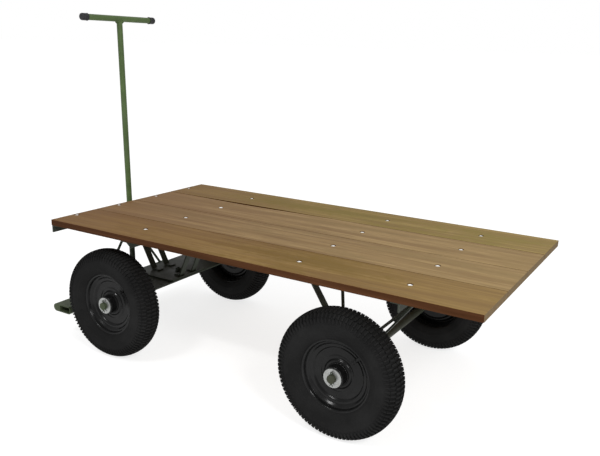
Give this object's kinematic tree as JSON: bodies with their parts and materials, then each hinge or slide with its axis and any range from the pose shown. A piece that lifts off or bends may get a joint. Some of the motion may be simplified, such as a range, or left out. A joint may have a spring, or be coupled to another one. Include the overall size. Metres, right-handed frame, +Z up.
{
  "type": "platform trolley",
  "caption": "Platform trolley with a plank deck on steel angles, pneumatic tyres, a steered front axle under a turntable and an upright T handle.",
  "frame": {"origin": "middle of the footprint on the floor", "axes": "+Z up; the handle and the steered axle are at the -X end; the left side is -Y"},
  "size_m": [1.574, 0.826, 1.1487],
  "materials": {
    "deck_wood": "oiled softwood planks with lengthwise grain",
    "zinc_steel": "bright zinc plate",
    "green_paint": "olive green enamel, satin",
    "handle_green": "mid green enamel, semi-gloss",
    "black_plastic": "black moulded caps",
    "tyre_rubber": "black tyre rubber with a block tread",
    "butyl_rubber": "black inner tube rubber",
    "black_enamel": "gloss black enamel on pressed steel",
    "bearing_steel": "ground steel with pressed shields"
  },
  "bodies": {
    "frame": {"plank_1": "deck_wood", "plank_2": "deck_wood", "plank_3": "deck_wood", "plank_4": "deck_wood", "deck_bolts": "zinc_steel", "deck_nuts": "zinc_steel", "front_angle": "green_paint", "second_angle": "green_paint", "third_angle": "green_paint", "rear_angle": "green_paint", "rear_fore_leg_left": "green_paint", "rear_fore_leg_right": "green_paint", "rear_aft_leg_left": "green_paint", "rear_aft_leg_right": "green_paint", "rear_rods": "green_paint", "rear_axle": "green_paint", "rear_washers": "zinc_steel", "rear_cotter_pins": "green_paint", "front_fore_leg_left": "green_paint", "front_fore_leg_right": "green_paint", "front_aft_leg_left": "green_paint", "front_aft_leg_right": "green_paint", "turntable_top_plate": "green_paint"},
    "carriage": {"kingpin": "zinc_steel", "kingpin_nut": "zinc_steel", "turntable_bottom_plate": "green_paint", "front_axle": "green_paint", "tongue": "green_paint", "front_crossbar": "handle_green", "hinge_ears": "green_paint", "hinge_pin": "zinc_steel", "hinge_nuts": "zinc_steel", "front_washers": "zinc_steel", "front_cotter_pins": "green_paint"},
    "handle": {"hinge_sleeve": "handle_green", "handle_tube": "handle_green", "handle_stays": "handle_green", "t_bar": "handle_green", "end_cap_left": "black_plastic", "end_cap_right": "black_plastic"},
    "wheel_front_left": {"tyre_fl": "tyre_rubber", "inner_tube_fl": "butyl_rubber", "rim_fl": "black_enamel", "hub_fl": "black_enamel", "bearings_fl": "bearing_steel"},
    "wheel_front_right": {"tyre_fr": "tyre_rubber", "inner_tube_fr": "butyl_rubber", "rim_fr": "black_enamel", "hub_fr": "black_enamel", "bearings_fr": "bearing_steel"},
    "wheel_rear_left": {"tyre_rl": "tyre_rubber", "inner_tube_rl": "butyl_rubber", "rim_rl": "black_enamel", "hub_rl": "black_enamel", "bearings_rl": "bearing_steel"},
    "wheel_rear_right": {"tyre_rr": "tyre_rubber", "inner_tube_rr": "butyl_rubber", "rim_rr": "black_enamel", "hub_rr": "black_enamel", "bearings_rr": "bearing_steel"}
  },
  "joints": [
    {"name": "steer", "type": "hinge", "parent": "frame", "child": "carriage", "pos_m": [-0.501, 0, 0.2], "axis": [0, 0, 1], "range_deg": [-20, 20]},
    {"name": "handle_hinge", "type": "hinge", "parent": "carriage", "child": "handle", "pos_m": [-0.739, 0, 0.15], "axis": [0, -1, 0], "range_deg": [0, 85]},
    {"name": "spin_front_left", "type": "hinge", "parent": "carriage", "child": "wheel_front_left", "pos_m": [-0.501, -0.336, 0.1895], "axis": [0, 1, 0], "continuous": true},
    {"name": "spin_front_right", "type": "hinge", "parent": "carriage", "child": "wheel_front_right", "pos_m": [-0.501, 0.336, 0.1895], "axis": [0, 1, 0], "continuous": true},
    {"name": "spin_rear_left", "type": "hinge", "parent": "frame", "child": "wheel_rear_left", "pos_m": [0.395, -0.363, 0.1895], "axis": [0, 1, 0], "continuous": true},
    {"name": "spin_rear_right", "type": "hinge", "parent": "frame", "child": "wheel_rear_right", "pos_m": [0.395, 0.363, 0.1895], "axis": [0, 1, 0], "continuous": true}
  ]
}
